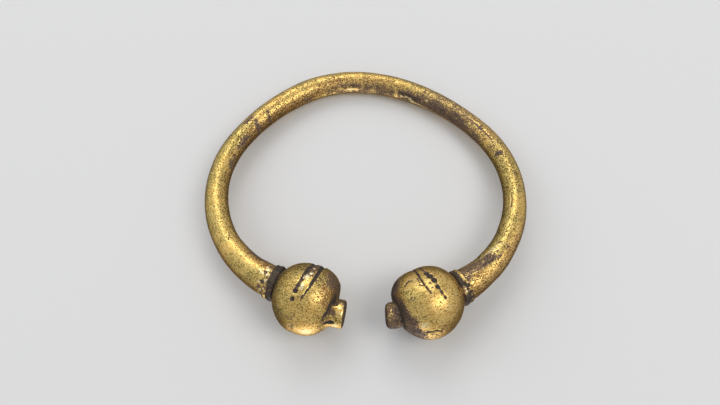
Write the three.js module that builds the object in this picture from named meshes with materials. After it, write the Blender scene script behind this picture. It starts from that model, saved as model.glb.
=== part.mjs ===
// An ancient open bracelet, cast in one piece of copper alloy: a round rod bent into a hoop, with a
// collar, a ball and a small button end on each arm. It lies on its two balls and on the back of its hoop.
// Millimetres and degrees. +X to the right, +Y from the gap to the back of the hoop, +Z up.

import * as THREE from "three";
import { mergeVertices } from "three/addons/utils/BufferGeometryUtils.js";

const { degToRad, radToDeg, smoothstep, lerp } = THREE.MathUtils;

// The hoop's centre line, on its own plane: each arm leaves the crown, at the back, as a chain of tangent
// arcs, then runs straight through the ball and turns inwards at the button. Balls and buttons sit off the
// arm's line by a distance out of the hoop. A ball's skew is its slant along the arm, per mm across it, and
// its endHalf its half length towards the button, whose bevel is the rounding of its rim. The ring is the
// place of the collar's ring, from the notch between collar and ball.
const CROWN_TILT = -2.85;
const ARMS = {
  left: {
    turn: 1,
    arcs: [
      { radius: 24.4, sweep: 34.3 },
      { radius: 39, sweep: 28.4 },
      { radius: 24.1, sweep: 58.9 },
      { radius: 23, sweep: 39.9 },
    ],
    rod: [
      { at: 0, radius: 2.5 },
      { at: 17, radius: 2.51 },
      { at: 29, radius: 2.37 },
      { at: 46, radius: 2.38 },
      { at: 58, radius: 2.5 },
      { at: 66, radius: 2.82 },
      { at: 72, radius: 3.13 },
    ],
    ring: -1.7,
    ball: { endHalf: 6, out: 0.64, skew: 0.11, outerPower: 2.1, innerPower: 2.74 },
    button: { neck: 2.7, flare: 2.75, length: 2.2, bevel: 0.65, out: 1.37, turn: 11.3 },
  },
  right: {
    turn: -1,
    arcs: [
      { radius: 30.3, sweep: 17.9 },
      { radius: 42.1, sweep: 31.5 },
      { radius: 23.7, sweep: 45.4 },
      { radius: 24.8, sweep: 56.9 },
    ],
    rod: [
      { at: 0, radius: 2.5 },
      { at: 12, radius: 2.4 },
      { at: 25, radius: 2.2 },
      { at: 37, radius: 2.27 },
      { at: 48, radius: 2.34 },
      { at: 60, radius: 2.51 },
      { at: 68, radius: 2.83 },
      { at: 74, radius: 3.2 },
    ],
    ring: -1.45,
    ball: { endHalf: 6.55, out: 0, skew: -0.06, outerPower: 2.18, innerPower: 2.77 },
    button: { neck: 2.45, flare: 2.5, length: 2.8, bevel: 1.1, out: -0.41, turn: 22.3 },
  },
};

// The terminal, by distance from the notch: below 0 towards the rod. The collar is the ring and a band.
const RING = { half: 0.42, radius: 3.5 };
const BAND = { to: -0.25, radius: 3.6, edge: 3.3 };
const NOTCH_RADIUS = 3.1;
const BALL_RADIUS = 6.85;
const BUTTON_TURN = { radius: 5, lead: 0.4 };

// Two lines run round each ball, worn away on its outer side: a plain groove just beyond the widest part and
// a row of pits short of it. Angles are round the arm, from the top towards the inside of the hoop.
const GROOVE = { beyond: 0.55, width: 0.6, depth: 0.38 };
const PITS = { beyond: -1.1, width: 0.7, depth: 0.42, pitch: 18 };
const CARVING = { middle: 68, halfSpan: 88, fade: 25 };

// Wear under the balls and the hoop, which leaves small flats to lie on.
const WEAR = 0.16;

// How finely the surface is cut into facets.
const SIDES = 40;
const ROD_STEP = 3;
const BALL_STEPS = 7;
const RIM_STEPS = 3;

// Distances along the arm closer than HAIR are the same, and so are points closer than MERGE_DISTANCE.
const HAIR = 0.01;
const MERGE_DISTANCE = 1e-3;

const ballMiddle = Math.sqrt(BALL_RADIUS ** 2 - NOTCH_RADIUS ** 2);
const grooveAt = ballMiddle + GROOVE.beyond;
const pitsAt = ballMiddle + PITS.beyond;

// The height of a rounded outline at a share of its half length: a circle for power 2, fuller above it.
function roundOff(share, power) {
  return Math.max(0, 1 - share ** power) ** (1 / power);
}

// Where an arm's ball meets its button, by distance from the notch.
const ballEnd = (arm) => ballMiddle + arm.ball.endHalf * roundOff(arm.button.neck / BALL_RADIUS, 2);

// The stretches of an arm's centre line, from the crown to beyond the end of the button.
function armStretches(arm) {
  const arcs = arm.arcs.map(({ radius, sweep }) => ({ curve: 1 / radius, length: radius * degToRad(sweep) }));
  const straight = { curve: 0, length: ballEnd(arm) - BUTTON_TURN.lead };
  const bend = { curve: 1 / BUTTON_TURN.radius, length: BUTTON_TURN.radius * degToRad(arm.button.turn) };
  return [...arcs, straight, bend, { curve: 0, length: arm.button.length }];
}

// The point and heading of an arm's centre line at a distance from the crown.
function armFrame(arm, distance) {
  const point = new THREE.Vector2();
  let heading = degToRad(CROWN_TILT) + (arm.turn > 0 ? Math.PI : 0);
  let remaining = distance;
  for (const { curve, length } of armStretches(arm)) {
    const run = Math.min(remaining, length);
    const swing = arm.turn * curve * run;
    const chord = swing === 0 ? run : (run * Math.sin(swing / 2)) / (swing / 2);
    point.x += chord * Math.cos(heading + swing / 2);
    point.y += chord * Math.sin(heading + swing / 2);
    heading += swing;
    remaining -= run;
  }
  return { point, heading };
}

const notchDistance = (arm) => arm.arcs.reduce((sum, a) => sum + a.radius * degToRad(a.sweep), 0);

// The rod's radius between two of its stations, on an easy curve.
function rodRadius(arm, distance) {
  const next = arm.rod.findIndex((station) => station.at >= distance);
  if (next < 0) return arm.rod[arm.rod.length - 1].radius;
  if (next === 0) return arm.rod[0].radius;
  const [a, b] = [arm.rod[next - 1], arm.rod[next]];
  return lerp(a.radius, b.radius, smoothstep(distance, a.at, b.at));
}

// The ball's radius, by distance from the notch and angle round the arm: a sphere as far as its middle, then
// flattened towards the button, with a full shoulder inside the hoop and a slope outside it.
function ballRadius(arm, u, angle) {
  if (u < ballMiddle) return BALL_RADIUS * roundOff((ballMiddle - u) / BALL_RADIUS, 2);
  const inner = (1 + Math.sin(degToRad(angle))) / 2;
  const power = lerp(arm.ball.outerPower, arm.ball.innerPower, inner);
  return Math.max(arm.button.neck, BALL_RADIUS * roundOff((u - ballMiddle) / arm.ball.endHalf, power));
}

// The terminal's outline as [distance from the notch, radius], from the ring to the button's end.
function terminalOutline(arm) {
  const bandFrom = arm.ring + RING.half;
  const collar = [
    [arm.ring, RING.radius],
    [bandFrom, BAND.edge],
    [(bandFrom + BAND.to) / 2, BAND.radius],
    [BAND.to, BAND.edge],
    [0, NOTCH_RADIUS],
  ];
  const lines = [GROOVE, PITS].flatMap(({ beyond, width }) =>
    [-0.5, 0, 0.5].map((share) => ballMiddle + beyond + share * width),
  );
  const clear = (u) => lines.every((line) => Math.abs(u - line) > GROOVE.width / 3);
  const halves = [
    { from: 0, to: ballMiddle },
    { from: ballEnd(arm), to: ballMiddle },
  ];
  const stations = halves.flatMap(({ from, to }) =>
    Array.from({ length: BALL_STEPS }, (_, k) => {
      const angle = ((k + 1) / (BALL_STEPS + 1)) * (Math.PI / 2);
      return lerp(to, from, Math.cos(angle));
    }),
  );
  const sorted = [...stations.filter(clear), ...lines].sort((a, b) => a - b);
  const ball = sorted.map((u) => [u, ballRadius(arm, u, 0)]);
  return [...collar, ...ball, ...buttonOutline(arm)];
}

// The button's outline: a short flare from its neck, and a rounded rim round a flat end.
function buttonOutline(arm) {
  const { neck, flare, length, bevel } = arm.button;
  const end = ballEnd(arm) + length;
  const rim = Array.from({ length: RIM_STEPS + 1 }, (_, k) => {
    const angle = (k / RIM_STEPS) * (Math.PI / 2);
    return [end - bevel * (1 - Math.sin(angle)), flare - bevel * (1 - Math.cos(angle))];
  });
  return [[ballEnd(arm), neck], ...rim, [end, 0]];
}

// An arm's whole outline as [distance from the crown, radius].
function armOutline(arm) {
  const notch = notchDistance(arm);
  const rodEnd = notch + arm.ring - RING.half;
  const steps = Math.round(rodEnd / ROD_STEP);
  const rod = Array.from({ length: steps }, (_, k) => {
    const at = ((k + 1) / steps) * rodEnd;
    return [at, rodRadius(arm, at)];
  });
  return [...rod, ...terminalOutline(arm).map(([u, radius]) => [notch + u, radius])];
}

// How deep the carving is at a place on the ball: its share of a line's full depth.
function carvingShare(angle) {
  const off = Math.abs(angle - CARVING.middle);
  return 1 - smoothstep(off, CARVING.halfSpan - CARVING.fade, CARVING.halfSpan);
}

function carvingDepth(u, angle) {
  const near = (line, width) => Math.max(0, 1 - Math.abs(u - line) / (width / 2));
  const pit = 0.5 + 0.5 * Math.cos(degToRad((angle / PITS.pitch) * 360));
  const groove = GROOVE.depth * near(grooveAt, GROOVE.width);
  const pits = PITS.depth * pit * near(pitsAt, PITS.width);
  return carvingShare(angle) * Math.max(groove, pits);
}

// The bracelet as a straight turned bar along Y: the left arm below the crown, the right arm above it.
function straightBar() {
  const left = armOutline(ARMS.left).map(([at, radius]) => new THREE.Vector2(radius, -at));
  const right = armOutline(ARMS.right).map(([at, radius]) => new THREE.Vector2(radius, at));
  const crown = new THREE.Vector2(ARMS.left.rod[0].radius, 0);
  return new THREE.LatheGeometry([...left.reverse(), crown, ...right], SIDES);
}

// Shapes and carves the bar's balls and bends the bar along the hoop's centre line.
function bend(bar) {
  const position = bar.getAttribute("position");
  for (let i = 0; i < position.count; i++) {
    const [across, along, up] = [position.getX(i), position.getY(i), position.getZ(i)];
    const arm = along < 0 ? ARMS.left : ARMS.right;
    const distance = Math.abs(along);
    const u = distance - notchDistance(arm);
    const angle = radToDeg(Math.atan2(across, up));
    const onBall = u > HAIR && u < ballEnd(arm) - HAIR;
    const shaped = onBall ? ballRadius(arm, u, angle) - carvingDepth(u, angle) : 0;
    const scale = onBall ? shaped / Math.hypot(across, up) : 1;
    const slant = onBall ? (arm.ball.skew * across * scale * shaped) / BALL_RADIUS : 0;
    const ballAside = arm.ball.out * smoothstep(u, 0, ballMiddle);
    const aside = lerp(ballAside, arm.button.out, smoothstep(u, ballMiddle, ballEnd(arm)));
    const { point, heading } = armFrame(arm, distance + slant);
    // Inwards, square to the arm: to the left of a left arm's heading and to the right of a right arm's.
    const inward = heading + (arm.turn * Math.PI) / 2;
    const reach = across * scale - aside;
    position.setXYZ(i, point.x + reach * Math.cos(inward), point.y + reach * Math.sin(inward), up * scale);
  }
  return bar;
}

// Lays the hoop down: the balls are thicker than the rod, so it leans back on the crown.
function layDown(hoop) {
  const middle = (arm) => armFrame(arm, notchDistance(arm) + ballMiddle).point.y;
  const ballY = (middle(ARMS.left) + middle(ARMS.right)) / 2;
  const crownRadius = ARMS.left.rod[0].radius;
  const lean = Math.asin((BALL_RADIUS - crownRadius) / -ballY);
  hoop.rotateX(-lean);
  hoop.computeBoundingBox();
  const { min, max } = hoop.boundingBox;
  hoop.translate(-(min.x + max.x) / 2, -(min.y + max.y) / 2, -min.z - WEAR);
  const position = hoop.getAttribute("position");
  for (let i = 0; i < position.count; i++) position.setZ(i, Math.max(0, position.getZ(i)));
  return hoop;
}

function braceletGeometry() {
  const bar = straightBar();
  bar.deleteAttribute("normal");
  bar.deleteAttribute("uv");
  const hoop = mergeVertices(layDown(bend(bar)), MERGE_DISTANCE);
  hoop.computeVertexNormals();
  return hoop;
}

const oldGold = new THREE.MeshStandardMaterial({ color: 0xb08d3c, roughness: 0.4, metalness: 0.9 });

const bracelet = new THREE.Mesh(braceletGeometry(), oldGold);
bracelet.name = "bracelet";

const part = new THREE.Group();
part.add(bracelet);

export default part;
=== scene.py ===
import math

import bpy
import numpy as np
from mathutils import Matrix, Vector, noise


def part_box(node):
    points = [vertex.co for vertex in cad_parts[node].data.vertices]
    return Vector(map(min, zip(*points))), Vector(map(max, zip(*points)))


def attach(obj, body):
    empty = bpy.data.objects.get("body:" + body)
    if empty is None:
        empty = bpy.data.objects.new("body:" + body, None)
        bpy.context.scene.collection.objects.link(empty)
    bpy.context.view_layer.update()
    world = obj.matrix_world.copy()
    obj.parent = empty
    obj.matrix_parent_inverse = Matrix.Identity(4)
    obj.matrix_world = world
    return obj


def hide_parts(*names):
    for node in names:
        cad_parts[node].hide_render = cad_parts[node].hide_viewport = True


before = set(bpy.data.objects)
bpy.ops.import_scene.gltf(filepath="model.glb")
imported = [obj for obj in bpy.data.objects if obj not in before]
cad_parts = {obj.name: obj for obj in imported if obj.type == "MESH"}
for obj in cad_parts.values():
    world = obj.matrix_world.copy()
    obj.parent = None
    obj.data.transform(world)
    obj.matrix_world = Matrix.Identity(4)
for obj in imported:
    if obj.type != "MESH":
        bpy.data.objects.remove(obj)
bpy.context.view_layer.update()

# An ancient open bracelet of golden copper alloy, lying on a pale floor. The surface is modelled again on
# the solid's own form, with its wear, carving and patina. The bracelet and the view are measured in
# millimetres until they are placed, and the floor and the lamps in metres.

NODE = "bracelet"
MM = 0.001

# The form, as in the solid. An arm starts at the crown, the middle of the hoop's back, and turns to the left
# (1) or to the right (-1). An arc is (radius, sweep in degrees), a rod station (distance, radius), and the
# ring the place of the collar's ring.
CROWN_TILT = -2.85
LEFT = {
    "turn": 1,
    "arcs": [(24.4, 34.3), (39, 28.4), (24.1, 58.9), (23, 39.9)],
    "rod": [(0, 2.5), (17, 2.51), (29, 2.37), (46, 2.38), (58, 2.5), (66, 2.82), (72, 3.13)],
    "ring": -1.7,
    "ball": {"end_half": 6, "out": 0.64, "skew": 0.11, "outer_power": 2.1, "inner_power": 2.74},
    "button": {"neck": 2.7, "flare": 2.75, "length": 2.2, "bevel": 0.65, "out": 1.37, "turn": 11.3},
}
RIGHT = {
    "turn": -1,
    "arcs": [(30.3, 17.9), (42.1, 31.5), (23.7, 45.4), (24.8, 56.9)],
    "rod": [(0, 2.5), (12, 2.4), (25, 2.2), (37, 2.27), (48, 2.34), (60, 2.51), (68, 2.83), (74, 3.2)],
    "ring": -1.45,
    "ball": {"end_half": 6.55, "out": 0, "skew": -0.06, "outer_power": 2.18, "inner_power": 2.77},
    "button": {"neck": 2.45, "flare": 2.5, "length": 2.8, "bevel": 1.1, "out": -0.41, "turn": 22.3},
}

# The terminal, by distance from the notch between collar and ball: below 0 towards the rod. The centre line
# bends into the button from a lead before the ball's end.
RING = {"half": 0.42, "radius": 3.5}
BAND = {"to": -0.12, "radius": 3.62, "edge": 3.3}
NOTCH_RADIUS = 3.1
BALL_RADIUS = 6.85
BUTTON_TURN = {"radius": 5, "lead": 0.4}

# How deep the flats that it rests on are worn.
WEAR = 0.16

# How finely the surface is cut: points round the rod and round a terminal, and steps along each stretch. The
# finer cut starts a lead before the collar's ring, after one seam.
ROD_SIDES = 80
FINE_SHARE = 3
TERMINAL_SIDES = ROD_SIDES * FINE_SHARE
STEPS = {"rod": 0.4, "collar": 0.09, "ball": 0.16, "button": 0.1}
FINE_LEAD = 0.9
SEAM = 0.1


def smoothstep(x, low, high):
    t = np.clip((x - low) / (high - low), 0, 1)
    return t * t * (3 - 2 * t)


def lerp(a, b, t):
    return a + (b - a) * t


def round_off(share, power):
    return np.maximum(0, 1 - np.clip(share, 0, 1) ** power) ** (1 / power)


BALL_MIDDLE = math.sqrt(BALL_RADIUS ** 2 - NOTCH_RADIUS ** 2)


def ball_end(arm):
    return BALL_MIDDLE + arm["ball"]["end_half"] * float(round_off(arm["button"]["neck"] / BALL_RADIUS, 2))


def notch_distance(arm):
    return sum(radius * math.radians(sweep) for radius, sweep in arm["arcs"])


def arm_end(arm):
    return notch_distance(arm) + ball_end(arm) + arm["button"]["length"]


def arm_stretches(arm):
    """The centre line's stretches as (curvature, length), from the crown to beyond the button."""
    arcs = [(1 / radius, radius * math.radians(sweep)) for radius, sweep in arm["arcs"]]
    straight = (0, ball_end(arm) - BUTTON_TURN["lead"])
    bend = (1 / BUTTON_TURN["radius"], BUTTON_TURN["radius"] * math.radians(arm["button"]["turn"]))
    return [*arcs, straight, bend, (0, arm["button"]["length"])]


def arm_frame(arm, distance):
    """The centre line's place and heading at each distance from the crown."""
    x = np.zeros_like(distance)
    y = np.zeros_like(distance)
    heading = np.full_like(distance, math.radians(CROWN_TILT) + (math.pi if arm["turn"] > 0 else 0))
    remaining = distance.copy()
    for curve, length in arm_stretches(arm):
        run = np.clip(remaining, 0, length)
        swing = arm["turn"] * curve * run
        chord = run * np.sinc(swing / (2 * math.pi))
        x = x + chord * np.cos(heading + swing / 2)
        y = y + chord * np.sin(heading + swing / 2)
        heading = heading + swing
        remaining = remaining - run
    return x, y, heading


def rod_radius(arm, distance):
    at, radius = np.array(arm["rod"], dtype=float).T
    i = np.clip(np.searchsorted(at, distance) - 1, 0, len(at) - 2)
    return lerp(radius[i], radius[i + 1], smoothstep(distance, at[i], at[i + 1]))


def swell(u, start, end):
    """A half-round hump between two distances, from 0 to 1 and back."""
    x = (2 * u - start - end) / (end - start)
    return np.sqrt(np.maximum(0, 1 - x * x))


def ring_span(arm):
    return arm["ring"] - RING["half"], arm["ring"] + RING["half"]


def collar_radius(arm, u, rod):
    start, end = ring_span(arm)
    foot = np.where(u < arm["ring"], rod, BAND["edge"])
    ring = lerp(foot, RING["radius"], swell(u, start, end))
    band = lerp(BAND["edge"], BAND["radius"], swell(u, end, BAND["to"]))
    notch = lerp(BAND["edge"], NOTCH_RADIUS, smoothstep(u, BAND["to"], 0))
    return np.where(u < end, ring, np.where(u < BAND["to"], band, notch))


def ball_radius(arm, u, angle):
    back = BALL_RADIUS * round_off((BALL_MIDDLE - u) / BALL_RADIUS, 2)
    inner = (1 + np.sin(np.radians(angle))) / 2
    power = lerp(arm["ball"]["outer_power"], arm["ball"]["inner_power"], inner)
    front = BALL_RADIUS * round_off((u - BALL_MIDDLE) / arm["ball"]["end_half"], power)
    return np.where(u < BALL_MIDDLE, back, np.maximum(arm["button"]["neck"], front))


def button_radius(arm, u):
    button = arm["button"]
    start, end = ball_end(arm), ball_end(arm) + button["length"]
    flare = lerp(button["neck"], button["flare"], smoothstep(u, start, end - button["bevel"]))
    rounding = np.clip((u - end + button["bevel"]) / button["bevel"], 0, 1)
    return flare - button["bevel"] * (1 - np.sqrt(1 - rounding ** 2))


def plain_radius(arm, u, angle):
    rod = rod_radius(arm, u + notch_distance(arm))
    radius = np.where(u < ring_span(arm)[0], rod, collar_radius(arm, u, rod))
    radius = np.where(u > 0, ball_radius(arm, u, angle), radius)
    return np.where(u > ball_end(arm), button_radius(arm, u), radius)


# Marks on the surface. A place is (distance from the notch, angle round the arm from the top inwards).
# A stroke runs through its places, with a width at each end, and a pit is round; both cut to a depth. A patch
# lies on the surface. Each leaves patina, or, below 0, rubs it off to bright metal; two such bright patches
# are painted highlights. A tint turns the metal olive, or, below 0, coppery; the tints are painted light
# colour, mostly olive on sides turned to the left and coppery on sides turned to the right. An edge is the
# share of a patch's half size over which it fades.
FULL_DIRT = 1.4
PATCH_EDGE = 0.6
TINT_EDGE = 0.5


def stroke(places, widths, depth, dirt=FULL_DIRT):
    return {"kind": "stroke", "places": places, "widths": widths, "depth": depth, "dirt": dirt}


def pit(place, size, depth, dirt=FULL_DIRT):
    return {"kind": "pit", "place": place, "size": size, "depth": depth, "dirt": dirt}


def patch(place, half, dirt, edge=PATCH_EDGE):
    return {"kind": "patch", "place": place, "half": half, "dirt": dirt, "edge": edge}


def tint(place, half, share):
    return {"kind": "tint", "place": place, "half": half, "share": share, "edge": TINT_EDGE}


def pit_row(distance, angles, size, depth, dirt=FULL_DIRT):
    return [pit((distance, angle), size, depth, dirt) for angle in angles]


def scatter(places, depth, dirt):
    return [pit((distance, angle), size, depth, dirt) for distance, angle, size in places]


# Where a ball's row of pits goes on inside the hoop.
INSIDE_ANGLES = range(60, 160, 20)

# The marks are laid in order: a later one goes over those before it.
LEFT_BALL = [
    # The face, a little rubbed.
    patch((6.6, -20), (4.2, 50), -0.12, 0.5),
    # The plain groove, and the row of pits in a shallow one.
    stroke([(6.4, 150), (6.5, 62)], (0.95, 0.9), 0.26),
    stroke([(6.5, 62), (7.05, 24), (7.1, 1), (6.7, -21)], (0.9, 0.22), 0.26),
    stroke([(4.75, 80), (4.8, 34), (5.0, 12), (5.05, -10)], (0.95, 0.55), 0.18, 1.1),
    *pit_row(4.75, INSIDE_ANGLES, 0.9, 0.26),
    pit((4.85, 42), 0.9, 0.34),
    pit((4.85, 30), 0.8, 0.3),
    pit((5.1, 12), 0.85, 0.34),
    pit((5.15, -2), 0.8, 0.32),
    pit((5.1, -11.5), 1.0, 0.4),
    pit((5.3, -25), 0.85, 0.34),
    # The dark strip between the two, with bright beads on it.
    patch((5.8, 45), (0.9, 16), 0.85),
    patch((5.7, 26), (0.7, 20), 0.8, 0.4),
    pit((5.55, 16), 1.25, -0.08, -1.0),
    pit((5.95, 26), 0.8, -0.08, -1.0),
    pit((5.8, -2), 1.2, -0.08, -0.9),
    pit((5.7, 39.5), 0.7, -0.08, -1.0),
    # Brown on the shoulder, round the button's foot and inside the hoop.
    patch((9.6, 45), (1.5, 22), 0.72, 0.7),
    patch((11.2, 56), (0.7, 34), 0.8),
    patch((11.4, 8), (0.35, 40), 0.85),
    patch((7.2, 130), (3.5, 40), 0.5),
    # Brown specks low on the outside, and below them a painted highlight, laid on as a rubbed cream spot.
    patch((7.8, -57), (3.2, 13), 0.3, 0.7),
    patch((6.4, -71), (1.0, 10), 0.55, 0.7),
    patch((9.0, -78), (1.4, 12), -0.78, 0.7),
    # Olive and coppery tints, which are painted light colour.
    tint((3.6, -62), (4, 44), 0.4),
    tint((10.4, 12), (1.6, 34), -0.8),
]

LEFT_BUTTON = [
    # The crease and hollows at the button's foot.
    stroke([(11.6, 34), (11.5, 14), (11.35, -14), (11.1, -48)], (0.6, 0.16), 0.1),
    pit((11.75, -18), 1.2, 0.16, 0.9),
    pit((11.9, 22), 1.3, 0.12, 0.95),
    pit((11.8, -60), 1.0, 0.4),
    # Its brown inner side, rubbed top, a painted highlight low on the outside, and its dark end.
    patch((12.9, 32), (1.2, 26), 0.7),
    patch((13.1, -6), (0.65, 36), -0.6, 0.4),
    patch((12.5, -74), (0.5, 12), -0.85),
    patch((13.85, 0), (0.25, 200), 0.95, 0.3),
]

# Small hollows and bright crumbs by the left collar, as (distance, angle, size).
COLLAR_HOLLOWS = [
    (-2.2, 52, 0.7), (-2.6, 38, 0.8), (-1.9, 34, 0.6), (-2.3, 16, 0.5), (-1.9, 9, 0.6), (-2.8, 5, 0.8),
    (-1.9, -9, 0.6), (-1.3, -20, 0.8), (-2.5, -30, 0.9), (-1.6, -42, 0.6), (-2.9, -52, 1.0),
    (-2.0, -58, 0.6), (-1.3, -66, 0.8), (-2.4, -76, 0.7),
]
COLLAR_CRUMBS = [
    (-2.6, 20, 0.8), (-3.0, 28, 0.5), (-2.1, 0, 0.8), (-3.9, 2, 0.7), (-3.3, -3, 0.7), (-2.0, -21, 0.7),
    (-3.0, -36, 0.5), (-1.8, -50, 0.6), (-2.4, -64, 0.6), (-3.6, 12, 0.6),
]

LEFT_COLLAR = [
    # A dark line along the band's foot, brown beside it, and the hollows and crumbs on that.
    stroke([(-1.0, -70), (-1.2, -30), (-1.4, 10), (-1.55, 40), (-1.6, 90)], (0.4, 0.8), 0.0, 1.3),
    patch((-1.7, 62), (1.0, 32), 0.7),
    patch((-2.0, 0), (1.2, 90), 0.42),
    *scatter(COLLAR_HOLLOWS, 0.12, 0.95),
    *scatter(COLLAR_CRUMBS, -0.05, -1.0),
]

LEFT_ROD = [
    # A thin film over the upper arm.
    patch((-56, 0), (12, 60), 0.15),
    # Two cross scratches with worn metal between them, and stains along the inside.
    stroke([(-46.6, 16), (-46.0, 48), (-45.5, 100)], (0.7, 1.5), 0.16, 0.75),
    stroke([(-50.2, 20), (-49.8, 45), (-49.3, 80)], (0.6, 1.0), 0.12, 0.82),
    patch((-48, 40), (1.6, 42), 0.3),
    patch((-48, 36), (0.8, 20), -0.3),
    patch((-45.6, -12), (2.2, 16), 0.8),
    patch((-40.4, 50), (2.4, 22), 0.78),
    patch((-33.8, 60), (2.2, 24), 0.65),
    pit((-34.5, 44), 0.7, 0.08, 0.8),
    pit((-36.4, 56), 0.8, 0.08, 0.8),
    # The back: a thin scratch, and brown with rubbed spots inside the hoop.
    stroke([(-70.1, 12), (-70.1, 60)], (0.35, 0.4), 0.08, 0.85),
    patch((-72.5, 80), (6, 46), 0.68),
    patch((-72.5, 78), (2.0, 10), -0.7),
    patch((-69.6, 72), (0.7, 8), -0.65),
    patch((-60.6, 84), (1.4, 14), 0.7),
    # The side and the swelling before the collar.
    stroke([(-22.6, -10), (-22.2, -4), (-22.5, 0)], (0.2, 0.2), 0.05, 0.8),
    patch((-12, -20), (10, 60), -0.2),
    patch((-6.2, 66), (4.6, 22), 0.72),
    # Olive and coppery tints, which are painted light colour.
    tint((-5.6, 40), (4.5, 26), -0.9),
    tint((-45, 80), (12, 44), -0.9),
    tint((-30, 96), (8, 40), -0.6),
    tint((-58, 76), (7, 40), -0.5),
    tint((-70, 46), (7, 40), -0.6),
    tint((-20, -14), (22, 40), 0.5),
    tint((-40, -36), (10, 40), 0.5),
]

RIGHT_BALL = [
    # Rubbed and dull places.
    patch((7.2, 26), (2.4, 26), -0.42, 0.5),
    patch((4.4, -26), (3.4, 50), -0.38, 0.3),
    patch((8.0, -68), (2.2, 14), 0.3, 0.6),
    patch((9.7, -8), (1.8, 28), -0.25, 0.5),
    patch((9.6, -52), (0.9, 10), -0.75),
    # The plain groove, and the row of pits in a shallow one.
    stroke([(6.8, 150), (6.8, 54), (7.05, 22), (6.9, 8), (6.55, -5)], (0.55, 0.2), 0.3, 1.2),
    stroke([(5.7, 62), (5.6, 42), (5.2, 24), (4.85, 12), (4.7, -9), (4.35, -19)], (0.5, 0.18), 0.16, 1.0),
    *pit_row(5.6, INSIDE_ANGLES, 0.8, 0.36),
    pit((5.5, 32), 1.0, 0.3),
    pit((5.2, 24), 1.2, 0.36),
    pit((4.9, 14), 1.15, 0.36),
    pit((4.95, 1.5), 0.85, 0.34),
    pit((4.7, -9), 0.55, 0.24),
    pit((4.4, -18.5), 0.6, 0.24),
    # Specks between the two, spurs off the groove, and scratches.
    pit((5.95, 12), 0.5, 0.1, 0.8),
    pit((5.9, 24), 0.4, 0.1, 0.8),
    pit((5.85, 3), 0.4, 0.08, 0.8),
    stroke([(7.5, 30), (7.6, 20)], (0.3, 0.2), 0.08, 1.2),
    stroke([(7.8, 16), (7.2, 12)], (0.3, 0.2), 0.08, 1.2),
    stroke([(10.2, 30), (9.5, 32.5), (8.6, 31)], (0.2, 0.36), 0.1),
    stroke([(10.6, -1), (10.0, 2)], (0.16, 0.2), 0.06, 1.0),
    stroke([(10.2, -4), (9.45, -1)], (0.16, 0.2), 0.06, 1.0),
    stroke([(9.4, -68), (7.6, -65), (6.6, -72)], (0.4, 0.2), 0.16),
    # Olive and coppery tints, which are painted light colour.
    tint((9.4, -8), (2.0, 34), 0.35),
    tint((5, -46), (3, 34), -0.6),
]

RIGHT_BUTTON = [
    # The crease at the button's foot, and the darkest places of the ball's end beside it.
    stroke([(12.3, 100), (12.3, 30), (12.35, -30), (12.3, -100)], (0.5, 0.4), 0.06, 1.3),
    patch((11.8, 0), (0.4, 24), 1.1),
    patch((10.9, -70), (0.7, 12), 1.1),
    patch((11.4, 62), (1.0, 24), 1.15),
    # The button's dark end and rubbed side.
    patch((15.0, 0), (0.3, 200), 1.1, 0.3),
    patch((14.2, 24), (0.8, 60), -0.3),
    # A coppery tint, which is painted light colour.
    tint((13, -33), (1.2, 40), -0.6),
]

RIGHT_COLLAR = [
    # Bright beads and dark hollows along the ring.
    *pit_row(-1.45, range(-12, 88, 17), 0.7, -0.05, -0.75),
    *pit_row(-1.4, range(-20, -90, -21), 0.8, 0.12),
    *pit_row(-0.95, range(-10, -90, -19), 0.6, 0.1),
    # The band, dark outside and rubbed at one place.
    patch((-0.5, -64), (0.6, 32), 1.2),
    patch((-0.4, -30), (0.42, 13), -0.65),
    patch((-1.7, -60), (0.6, 30), 0.3),
]

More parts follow.
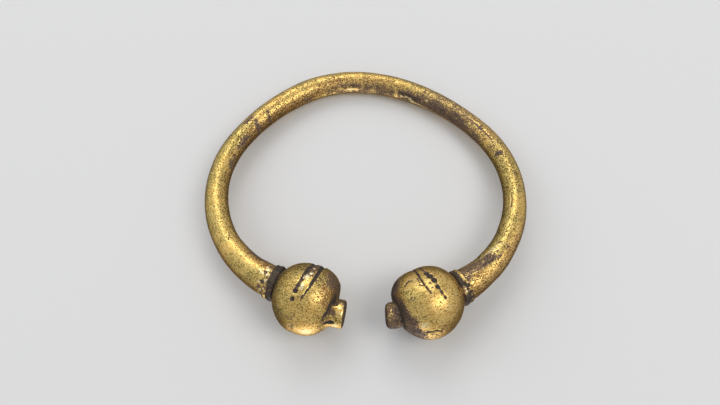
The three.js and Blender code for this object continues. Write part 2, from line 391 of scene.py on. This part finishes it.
RIGHT_ROD = [
    # A film over the upper arm.
    patch((-50, 0), (13, 60), 0.5),
    # Scratches and a short dark bar along the side.
    stroke([(-48, 14), (-44.7, 16), (-42.4, 17), (-40.2, 16.5)], (0.2, 0.34), 0.1, 0.9),
    stroke([(-36.7, 38), (-36.5, 18)], (1.2, 1.3), 0.1, 0.9),
    stroke([(-25.5, 28.5), (-22.4, 26)], (0.18, 0.26), 0.1),
    patch((-17, -40), (14, 36), -0.28),
    # The back's brown inner side, with a hollow and bright crumbs.
    patch((-70, 78), (8, 48), 0.68),
    patch((-63.2, 74), (3.4, 42), 0.85),
    patch((-60, 64), (3, 40), 0.88),
    patch((-55.5, 68), (4.2, 48), 0.92),
    patch((-50, 68), (3.8, 46), 0.88),
    patch((-44.5, 80), (4.2, 40), 0.7),
    stroke([(-62.7, 95), (-59.4, 99), (-55.8, 103), (-52, 110)], (0.5, 0.3), 0.0, -0.9),
    stroke([(-65.9, 60), (-64.6, 63), (-62.6, 66), (-60.6, 65)], (0.7, 1.1), 0.12, 1.15),
    stroke([(-66.7, 62), (-66.7, 92)], (0.8, 0.9), -0.06, -0.7),
    pit((-65.1, 77), 0.6, -0.06, -1.0),
    pit((-63.9, 74.5), 0.6, -0.06, -1.0),
    pit((-63.0, 78), 0.7, -0.06, -0.9),
    pit((-62.3, 87), 0.7, -0.06, -0.9),
    pit((-58.8, 51), 0.9, -0.05, -0.7),
    # The stain before the collar, with its rubbed edge.
    patch((-2.6, 26), (1.1, 44), 0.73, 0.3),
    patch((-4.8, 30), (3.2, 30), 0.73, 0.3),
    patch((-8.4, 14), (2.6, 22), 0.75, 0.3),
    patch((-10.2, -10), (1.2, 9), 0.6),
    stroke([(-3, 58), (-9.4, 37), (-11.8, 22)], (0.35, 0.6), 0.0, -0.75),
    patch((-12, 20), (1.8, 22), -0.6),
    stroke([(-13.3, 40), (-12.9, 26), (-13.4, 10)], (0.3, 0.25), 0.08, 1.0),
    pit((-13.2, -16), 0.7, 0.08, 0.8),
    pit((-11.0, 7), 0.6, 0.08, 0.8),
    # Olive and coppery tints, which are painted light colour.
    tint((-71, 40), (7, 40), -0.6),
    tint((-47, 25), (9, 40), 0.4),
    tint((-22, 34), (12, 30), 0.5),
    tint((-13, -70), (9, 50), -0.7),
    tint((-3, -40), (4, 60), -0.6),
]

LEFT["marks"] = LEFT_BALL + LEFT_BUTTON + LEFT_COLLAR + LEFT_ROD
RIGHT["marks"] = RIGHT_BALL + RIGHT_BUTTON + RIGHT_COLLAR + RIGHT_ROD

# The dark end of the right ball and its button: the edge of the patina as (angle, distance from the notch).
RIGHT_CAP = [
    (-180, 9.0), (-77, 9.6), (-47, 10.3), (-28, 11.1), (-2, 11.7),
    (29, 11.8), (50, 10.4), (80, 9.6), (180, 9.0),
]
CAP_DIRT = 0.84
CAP_FADE = {"before": 0.9, "after": 0.5}

# The patina of the collar's ring and band, by the turn of the arm. The band's fades at the ring, and over the
# notch onto the ball.
RING_DIRT = {1: 0.3, -1: 0.05}
BAND_DIRT = {1: 1.3, -1: 1.05}
BAND_FADE = 0.1
NOTCH_FADE = {"from": 0.05, "to": 0.4}

# The dirt of a stroke or pit fades over this share of its half width, on either side of its edge.
MARK_FADE = 0.25

# The reach of a point that is far outside a stroke.
OUT_OF_REACH = -9.0


def turned(angle):
    """An angle brought into -180 to 180 degrees."""
    return (angle + 180) % 360 - 180


def stroke_reach(mark, u, angle, per_degree):
    """How near each point is to a stroke's middle: 1 on it, 0 at its edge, below 0 outside."""
    places = mark["places"]
    start_width, end_width = mark["widths"]
    pieces = len(places) - 1
    reach = np.full_like(u, OUT_OF_REACH)
    for k in range(pieces):
        (u0, a0), (u1, a1) = places[k], places[k + 1]
        du, da = u1 - u0, (a1 - a0) * per_degree
        pu, pa = u - u0, turned(angle - a0) * per_degree
        t = np.clip((pu * du + pa * da) / (du * du + da * da), 0, 1)
        gap = np.hypot(pu - t * du, pa - t * da)
        width = lerp(start_width, end_width, (k + t) / pieces)
        reach = np.maximum(reach, 1 - gap / (width / 2))
    return reach


def pit_reach(mark, u, angle, per_degree):
    u0, a0 = mark["place"]
    gap = np.hypot(u - u0, turned(angle - a0) * per_degree)
    return 1 - gap / (mark["size"] / 2)


def patch_share(mark, u, angle):
    u0, a0 = mark["place"]
    half_u, half_a = mark["half"]
    gap = np.hypot((u - u0) / half_u, turned(angle - a0) / half_a)
    return 1 - smoothstep(gap, 1 - mark["edge"], 1 + mark["edge"])


def form_dirt(arm, u, angle):
    """Patina that comes with the form: the collar's ring, band and notch, and the right ball's dark end."""
    start, end = ring_span(arm)
    ring = RING_DIRT[arm["turn"]] * (u > start) * (u < end)
    past_ring = smoothstep(u, end - BAND_FADE, end + BAND_FADE)
    past_notch = smoothstep(u, NOTCH_FADE["from"], NOTCH_FADE["to"])
    band = BAND_DIRT[arm["turn"]] * past_ring * (1 - past_notch)
    dirt = np.maximum(ring, band)
    if arm is RIGHT:
        edge = np.interp(angle, *zip(*RIGHT_CAP))
        cap = CAP_DIRT * smoothstep(u, edge - CAP_FADE["before"], edge + CAP_FADE["after"])
        dirt = np.maximum(dirt, cap)
    return dirt


def marks_on(arm, u, angle, radius):
    """The depth cut by an arm's marks, its patina, how far it is rubbed bright or has a painted highlight,
    and the metal's tone, which is painted light colour.
    """
    per_degree = radius * math.pi / 180
    depth = np.zeros_like(u)
    dirt = form_dirt(arm, u, angle)
    rub_and_highlight = np.zeros_like(u)
    tone = np.zeros_like(u)
    for mark in arm["marks"]:
        if mark["kind"] == "tint":
            tone += mark["share"] * patch_share(mark, u, angle)
            continue
        if mark["kind"] == "patch":
            share = patch_share(mark, u, angle)
        else:
            find = stroke_reach if mark["kind"] == "stroke" else pit_reach
            reach = find(mark, u, angle, per_degree)
            inside = np.clip(reach, 0, 1)
            cut = mark["depth"] * inside * (2 - inside)
            depth = np.where(np.abs(cut) > np.abs(depth), cut, depth)
            share = smoothstep(reach, -MARK_FADE, MARK_FADE)
        dirt = np.maximum(dirt * (1 - np.maximum(0, -mark["dirt"]) * share), mark["dirt"] * share)
        rub_and_highlight = np.maximum(rub_and_highlight * (1 - np.maximum(0, mark["dirt"]) * share), -mark["dirt"] * share)
    return depth, {"dirt": dirt, "rub_and_highlight": rub_and_highlight, "tone": tone}


# Unevenness of the worked metal, as (size of the swellings, height).
UNEVEN = [(7.0, 0.07), (2.2, 0.03), (0.7, 0.014)]


def unevenness(points):
    height = np.zeros(len(points))
    for size, amount in UNEVEN:
        height += [amount * noise.noise(Vector(p) / size) for p in points]
    return height


def rings(arm):
    """An arm's distances from the crown, with the number of points round it at each."""
    notch = notch_distance(arm)
    collar = notch + ring_span(arm)[0] - FINE_LEAD
    button = notch + ball_end(arm)
    stops = [
        (0, collar - SEAM, STEPS["rod"], ROD_SIDES),
        (collar, notch, STEPS["collar"], TERMINAL_SIDES),
        (notch, button, STEPS["ball"], TERMINAL_SIDES),
        (button, arm_end(arm), STEPS["button"], TERMINAL_SIDES),
    ]
    found = []
    for start, end, step, sides in stops:
        count = max(2, round((end - start) / step))
        found += [(start + (end - start) * k / count, sides) for k in range(count)]
    found.append((arm_end(arm), TERMINAL_SIDES))
    return found


def placed(arm, u, angle, radius):
    """Points of an arm's surface on the hoop's own plane."""
    across = radius * np.sin(np.radians(angle))
    up = radius * np.cos(np.radians(angle))
    on_ball = (u > 0) & (u < ball_end(arm))
    slant = np.where(on_ball, arm["ball"]["skew"] * across * radius / BALL_RADIUS, 0)
    x, y, heading = arm_frame(arm, u + notch_distance(arm) + slant)
    ball_aside = arm["ball"]["out"] * smoothstep(u, 0, BALL_MIDDLE)
    aside = lerp(ball_aside, arm["button"]["out"], smoothstep(u, BALL_MIDDLE, ball_end(arm)))
    inward = heading + arm["turn"] * math.pi / 2
    reach = across - aside
    return np.stack([x + reach * np.cos(inward), y + reach * np.sin(inward), up], axis=1)


def ring_points(arm, distance, sides):
    """One ring of surface points across the arm: their places, their places on the unbent bar, and finish."""
    angle = turned(np.arange(sides) * (360 / sides))
    u = np.full(sides, distance - notch_distance(arm))
    plain = plain_radius(arm, u, angle)
    depth, finish = marks_on(arm, u, angle, plain)
    radius = plain - depth
    along = np.full(sides, -arm["turn"] * distance)
    bar = np.stack([along, plain * np.sin(np.radians(angle)), plain * np.cos(np.radians(angle))], axis=1)
    return {"points": placed(arm, u, angle, radius), "bar": bar, **finish}


def lean_angle():
    """How far the hoop leans back on its crown, because the balls are thicker than the rod."""
    ball_y = [arm_frame(arm, np.array([notch_distance(arm) + BALL_MIDDLE]))[1][0] for arm in (LEFT, RIGHT)]
    return math.asin((BALL_RADIUS - LEFT["rod"][0][1]) / -(sum(ball_y) / 2))


def lay_down(points):
    """Leans the hoop, centres it on the solid's box, and wears it flat where it meets the floor."""
    lean = lean_angle()
    y = points[:, 1] * math.cos(lean) + points[:, 2] * math.sin(lean)
    z = -points[:, 1] * math.sin(lean) + points[:, 2] * math.cos(lean)
    laid = np.stack([points[:, 0], y, z], axis=1)
    low, high = laid.min(axis=0), laid.max(axis=0)
    box_low, box_high = (np.array(corner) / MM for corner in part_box(NODE))
    shift = (box_low + box_high) / 2 - (low + high) / 2
    shift[2] = box_low[2] - low[2] - WEAR
    laid += shift
    laid[:, 2] = np.maximum(laid[:, 2], box_low[2])
    return laid


def strip(first, first_sides, second, second_sides):
    """Faces between two neighbouring rings, given by their first vertex and their number of points."""
    if first_sides == second_sides:
        n = first_sides
        return [(first + i, first + (i + 1) % n, second + (i + 1) % n, second + i) for i in range(n)]
    if first_sides > second_sides:
        return [face[::-1] for face in strip(second, second_sides, first, first_sides)]
    faces = []
    share = second_sides // first_sides
    for i in range(first_sides):
        here, there = first + i, first + (i + 1) % first_sides
        fine = [second + (i * share + k) % second_sides for k in range(share + 1)]
        faces += [(here, fine[k + 1], fine[k]) for k in range(share - 1)]
        faces.append((here, there, fine[share], fine[share - 1]))
    return faces


def bracelet_surface():
    """All rings from the left button to the right one, as point data, and the faces between them."""
    course = [(LEFT, d, n) for d, n in reversed(rings(LEFT))] + [(RIGHT, d, n) for d, n in rings(RIGHT)[1:]]
    cuts = [ring_points(*stop) for stop in course]
    sides = [stop[2] for stop in course]
    starts = np.concatenate([[0], np.cumsum(sides)]).tolist()
    faces = []
    for k in range(len(course) - 1):
        faces += strip(starts[k], sides[k], starts[k + 1], sides[k + 1])
    faces.append(tuple(range(starts[0], starts[1]))[::-1])
    faces.append(tuple(range(starts[-2], starts[-1])))
    data = {name: np.concatenate([cut[name] for cut in cuts]) for name in cuts[0]}
    return data, faces


def make_bracelet():
    """The dressed bracelet's mesh, made slightly uneven, with its finish as values on the points."""
    data, faces = bracelet_surface()
    laid = lay_down(data["points"])
    mesh = bpy.data.meshes.new("bracelet_surface")
    mesh.from_pydata((laid * MM).tolist(), [], faces)
    mesh.update()
    normals = np.empty(laid.size)
    mesh.vertex_normals.foreach_get("vector", normals)
    uneven = laid + normals.reshape(-1, 3) * unevenness(laid)[:, None]
    uneven[:, 2] = np.maximum(uneven[:, 2], laid[:, 2].min())
    mesh.vertices.foreach_set("co", (uneven * MM).ravel())
    for name in ("dirt", "rub_and_highlight", "tone"):
        mesh.attributes.new(name, "FLOAT", "POINT").data.foreach_set("value", data[name])
    mesh.attributes.new("bar", "FLOAT_VECTOR", "POINT").data.foreach_set("vector", data["bar"].ravel())
    mesh.polygons.foreach_set("use_smooth", [True] * len(mesh.polygons))
    mesh.update()
    piece = bpy.data.objects.new("bracelet_dressed", mesh)
    bpy.context.scene.collection.objects.link(piece)
    return piece


# Node helpers: each adds one node, with links or plain values on its inputs, and gives the socket it ends in.
def add_node(tree, kind, inputs=None, **settings):
    node = tree.nodes.new(kind)
    for name, value in settings.items():
        setattr(node, name, value)
    for name, value in (inputs or {}).items():
        if isinstance(value, bpy.types.NodeSocket):
            tree.links.new(value, node.inputs[name])
        else:
            node.inputs[name].default_value = value
    return node


def noise_of(tree, place, scale, detail):
    inputs = {"Vector": place, "Scale": scale, "Detail": detail}
    return add_node(tree, "ShaderNodeTexNoise", inputs).outputs["Fac"]


def ramp(tree, value, low, high, to_low=0.0, to_high=1.0):
    inputs = {"Value": value, "From Min": low, "From Max": high, "To Min": to_low, "To Max": to_high}
    return add_node(tree, "ShaderNodeMapRange", inputs, interpolation_type="SMOOTHSTEP").outputs["Result"]


def scaled(tree, value, factor, plus):
    """The value times a factor, plus another value."""
    inputs = {0: value, 1: factor, 2: plus}
    return add_node(tree, "ShaderNodeMath", inputs, operation="MULTIPLY_ADD").outputs[0]


def summed(tree, values, weights, start):
    """A start value, plus each named value times its weight."""
    total = start
    for name, weight in weights.items():
        total = scaled(tree, values[name], weight, total)
    return total


# The numbers of a mix node's sockets for its share, its two colours and the mixed colour.
MIX_SHARE = 0
MIX_FIRST = 6
MIX_SECOND = 7
MIX_RESULT = 2


def blend(tree, share, first, second):
    """The first colour, with a share of the second over it."""
    inputs = {MIX_SHARE: share, MIX_FIRST: first, MIX_SECOND: second}
    return add_node(tree, "ShaderNodeMix", inputs, data_type="RGBA").outputs[MIX_RESULT]


# The metal's colours: worn gold with bright flecks, olive and coppery tints that are partly painted light
# colour, brown specks, cream for rubbed metal and for painted highlights, and patina.
GOLD = (0.77, 0.48, 0.135, 1)
FLECK = (1.0, 0.74, 0.275, 1)
OLIVE = (0.52, 0.385, 0.11, 1)
COPPER = (0.72, 0.37, 0.12, 1)
SPECK = (0.13, 0.072, 0.03, 1)
CREAM = (1.0, 0.87, 0.56, 1)
PATINA = (0.05, 0.036, 0.025, 1)
PATINA_BROWN = (0.21, 0.128, 0.075, 1)

# Noises over the surface, as (cells to a metre, detail). The streaks run along the unbent bar, as cells to a
# millimetre along and across it.
NOISES = {"broad": (110, 3), "cloud": (420, 3), "grain": (2000, 2), "fine": (4400, 0)}
STREAKS = {"cells": (0.8, 3.2, 3.2), "scale": 1, "detail": 2}

# How the noises add up: the mottling of the metal, its cloudy tone, the ragged edge of the patina, and the
# finest relief.
MOTTLE = {"start": -0.27, "weights": {"streak": 0.44, "grain": 0.28, "fine": 0.82}}
CLOUDY = {"start": 0.0, "weights": {"cloud": 0.4, "broad": 0.6}}
RAGGED = {"start": -1.175, "weights": {"cloud": 0.9, "mottle": 1.45}}
RELIEF = {"start": 0.0, "weights": {"grain": 0.4, "fine": 0.5, "specks": -0.5}}
BUMP = {"Strength": 0.5, "Distance": 0.00005}

# Layers of colour: what is added to the value that each follows, the span over which it comes in, and its
# share at most. The flecks go out over their span.
SPECKS = {
    "weights": {"tone": -0.1, "rub_and_highlight": -0.32, "broad": 0.2, "cloud": 0.3},
    "span": (0.78, 0.84),
    "share": 0.75,
}
FLECKS = {"weights": {"rub_and_highlight": -0.15}, "span": (0.4, 0.46), "share": 0.7}
# The olive and coppery layers follow the cloudy noise, and the tints, which are painted light colour.
TARNISH_AND_PAINTED_LIGHT = {"weights": {"tone": 0.2}, "span": (0.42, 0.64)}
COPPERY = {"weights": {"tone": -0.5}, "span": (0.6, 0.95)}
# Cream where the metal is rubbed, and where a highlight is painted.
RUBBED_AND_HIGHLIGHT = {"weights": {"mottle": -1.6}, "span": (-0.12, 0.1)}

# The patina turns brown, and then dark, over these spans.
BROWN_SPAN = (0.3, 0.6)
DARK_SPAN = (0.78, 1.08)

# From bare metal to full patina: the span, and the values at its ends. Specks are rougher by so much.
ROUGHNESS = {"span": (0.3, 0.9), "ends": (0.38, 0.5), "specks": 0.16}
METALLIC = {"span": (0.35, 0.95), "ends": (1.0, 0.25)}


def bronze_values(tree):
    """What the finish follows: the mesh's own patina, wear and tone, and noises and their sums."""
    values = {}
    for name in ("dirt", "rub_and_highlight", "tone"):
        values[name] = add_node(tree, "ShaderNodeAttribute", attribute_name=name).outputs["Fac"]
    place = add_node(tree, "ShaderNodeTexCoord").outputs["Object"]
    for name, (cells, detail) in NOISES.items():
        values[name] = noise_of(tree, place, cells, detail)
    bar = add_node(tree, "ShaderNodeAttribute", attribute_name="bar").outputs["Vector"]
    stretched = add_node(tree, "ShaderNodeMapping", {"Vector": bar, "Scale": STREAKS["cells"]})
    values["streak"] = noise_of(tree, stretched.outputs["Vector"], STREAKS["scale"], STREAKS["detail"])
    values["mottle"] = summed(tree, values, MOTTLE["weights"], MOTTLE["start"])
    values["cloudy"] = summed(tree, values, CLOUDY["weights"], CLOUDY["start"])
    values["ragged"] = summed(tree, values, RAGGED["weights"], RAGGED["start"])
    values["patina"] = scaled(tree, values["ragged"], 1.0, values["dirt"])
    speckled = summed(tree, values, SPECKS["weights"], values["mottle"])
    values["specks"] = ramp(tree, speckled, *SPECKS["span"])
    return values


def metal_colour(tree, values):
    """Gold turned olive or coppery, partly as painted light colour, with bright flecks and brown specks, and
    cream where it is rubbed or a highlight is painted.
    """
    tarnish_and_painted_light = ramp(tree, summed(tree, values, TARNISH_AND_PAINTED_LIGHT["weights"], values["cloudy"]), *TARNISH_AND_PAINTED_LIGHT["span"])
    coppery = ramp(tree, summed(tree, values, COPPERY["weights"], values["cloudy"]), *COPPERY["span"])
    ground = blend(tree, coppery, blend(tree, tarnish_and_painted_light, GOLD, OLIVE), COPPER)
    fleck_place = summed(tree, values, FLECKS["weights"], values["mottle"])
    flecks = ramp(tree, fleck_place, *FLECKS["span"], 1.0, 0.0)
    flecked = blend(tree, scaled(tree, flecks, FLECKS["share"], 0.0), ground, FLECK)
    speckled = blend(tree, scaled(tree, values["specks"], SPECKS["share"], 0.0), flecked, SPECK)
    bright = ramp(tree, summed(tree, values, RUBBED_AND_HIGHLIGHT["weights"], values["rub_and_highlight"]), *RUBBED_AND_HIGHLIGHT["span"])
    return blend(tree, bright, speckled, CREAM)


def with_patina(tree, values, metal):
    """The metal's colour under brown patina, and dark patina where it is thick."""
    brown = ramp(tree, values["patina"], *BROWN_SPAN)
    dark = ramp(tree, values["patina"], *DARK_SPAN)
    return blend(tree, dark, blend(tree, brown, metal, PATINA_BROWN), PATINA)


def old_bronze():
    material = bpy.data.materials.new("old_bronze")
    material.use_nodes = True
    tree = material.node_tree
    tree.nodes.clear()
    values = bronze_values(tree)
    patina_rough = ramp(tree, values["patina"], *ROUGHNESS["span"], *ROUGHNESS["ends"])
    relief = summed(tree, values, RELIEF["weights"], RELIEF["start"])
    bump = add_node(tree, "ShaderNodeBump", {**BUMP, "Height": relief})
    inputs = {
        "Base Color": with_patina(tree, values, metal_colour(tree, values)),
        "Roughness": scaled(tree, values["specks"], ROUGHNESS["specks"], patina_rough),
        "Metallic": ramp(tree, values["patina"], *METALLIC["span"], *METALLIC["ends"]),
        "Normal": bump.outputs["Normal"],
    }
    shader = add_node(tree, "ShaderNodeBsdfPrincipled", inputs)
    add_node(tree, "ShaderNodeOutputMaterial", {"Surface": shader.outputs["BSDF"]})
    return material


# The floor is matt. The metal doesn't mirror it, but the ground of the sky below.
FLOOR = {"half": 1.5, "colour": (0.766, 0.759, 0.761, 1), "roughness": 0.9}


def make_floor():
    half = FLOOR["half"]
    mesh = bpy.data.meshes.new("floor")
    corners = [(-half, -half, 0), (half, -half, 0), (half, half, 0), (-half, half, 0)]
    mesh.from_pydata(corners, [], [(0, 1, 2, 3)])
    floor = bpy.data.objects.new("floor", mesh)
    floor.visible_glossy = False
    bpy.context.scene.collection.objects.link(floor)
    material = bpy.data.materials.new("pale_floor")
    material.use_nodes = True
    shader = material.node_tree.nodes["Principled BSDF"]
    shader.inputs["Base Color"].default_value = FLOOR["colour"]
    shader.inputs["Roughness"].default_value = FLOOR["roughness"]
    shader.inputs["Specular IOR Level"].default_value = 0.0
    mesh.materials.append(material)


# Soft lamps at one distance: the way the light comes from, its size, power and colour. A lamp without shine
# lights the floor and isn't mirrored in the metal.
LAMP_DISTANCE = 1.0
LAMPS = {
    "back": {
        "way": (-0.06, 0.68, 0.73),
        "size": 0.62,
        "power": 1.9,
        "colour": (1, 0.99, 0.955),
        "shine": True,
    },
    "left": {
        "way": (-0.58, 0.38, 0.72),
        "size": 1.2,
        "power": 1.16,
        "colour": (1, 0.99, 0.955),
        "shine": True,
    },
    "right": {
        "way": (0.57, -0.17, 0.81),
        "size": 0.58,
        "power": 2.45,
        "colour": (1, 0.985, 0.93),
        "shine": True,
    },
    "fill": {
        "way": (-0.8, 0.15, 0.58),
        "size": 0.7,
        "power": 1.4,
        "colour": (1, 1, 1),
        "shine": False,
    },
}

# The sky is an even pale grey, a little lighter along the horizon. Below the horizon the metal mirrors a
# dark ground with one bright spot in front. A span says where one goes over into the other: by height for
# the sky and the ground, and by nearness to the front way for the spot.
SKY = {
    "zenith": (0.485, 0.5, 0.52, 1),
    "horizon": (0.555, 0.575, 0.6, 1),
    "horizon_span": (0.0, 0.8),
    "front": (1.75, 1.67, 1.58, 1),
    "front_way": (0.0, -0.74, -0.67),
    "front_span": (0.8, 0.97),
    "behind": (0.1, 0.085, 0.07, 1),
    "ground_span": (-0.6, 0.05),
}


def aim(thing, target):
    thing.rotation_euler = (Vector(target) - thing.location).to_track_quat("-Z", "Y").to_euler()


def make_lamps():
    for name, lamp in LAMPS.items():
        data = bpy.data.lights.new(name, "AREA")
        data.shape = "DISK"
        data.size = lamp["size"]
        data.energy = lamp["power"]
        data.color = lamp["colour"]
        light = bpy.data.objects.new(name, data)
        light.location = Vector(lamp["way"]).normalized() * LAMP_DISTANCE
        light.visible_glossy = lamp["shine"]
        aim(light, (0, 0, 0))
        bpy.context.scene.collection.objects.link(light)


def make_sky():
    world = bpy.data.worlds.new("studio")
    bpy.context.scene.world = world
    world.use_nodes = True
    tree = world.node_tree
    way = add_node(tree, "ShaderNodeTexCoord").outputs["Generated"]
    parts = add_node(tree, "ShaderNodeSeparateXYZ", {"Vector": way}).outputs
    above = blend(tree, ramp(tree, parts["Z"], *SKY["horizon_span"]), SKY["horizon"], SKY["zenith"])
    toward = {0: way, 1: SKY["front_way"]}
    front = add_node(tree, "ShaderNodeVectorMath", toward, operation="DOT_PRODUCT").outputs["Value"]
    below = blend(tree, ramp(tree, front, *SKY["front_span"]), SKY["behind"], SKY["front"])
    sky = blend(tree, ramp(tree, parts["Z"], *SKY["ground_span"]), below, above)
    tree.links.new(sky, tree.nodes["Background"].inputs["Color"])


# The camera's view of the photograph: the point looked at, the height above the floor in degrees, the turn
# to the right in degrees, and the distance. The lens gives 560 pixels to a unit slope, 720 pixels wide.
VIEW = {"target": (-1.12, -3.27, 5.0), "height": 65.23, "turn": -0.13, "far": 117.8}
FOCAL_PIXELS = 560
FRAME_WIDTH = 720
SENSOR_WIDTH = 36
NEAREST_SEEN = 5


def make_camera():
    data = bpy.data.cameras.new("camera")
    data.sensor_fit = "HORIZONTAL"
    data.sensor_width = SENSOR_WIDTH
    data.lens = SENSOR_WIDTH * FOCAL_PIXELS / FRAME_WIDTH
    data.clip_start = NEAREST_SEEN * MM
    camera = bpy.data.objects.new("camera", data)
    height, turn = math.radians(VIEW["height"]), math.radians(VIEW["turn"])
    way = (math.sin(turn) * math.cos(height), -math.cos(turn) * math.cos(height), math.sin(height))
    target = Vector(VIEW["target"]) * MM
    camera.location = target + Vector(way) * VIEW["far"] * MM
    aim(camera, target)
    bpy.context.scene.collection.objects.link(camera)
    bpy.context.scene.camera = camera


bracelet = make_bracelet()
bracelet.data.materials.append(old_bronze())
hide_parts(NODE)
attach(bracelet, "root")
make_floor()
make_lamps()
make_sky()
make_camera()
bpy.context.scene.view_settings.view_transform = "Standard"
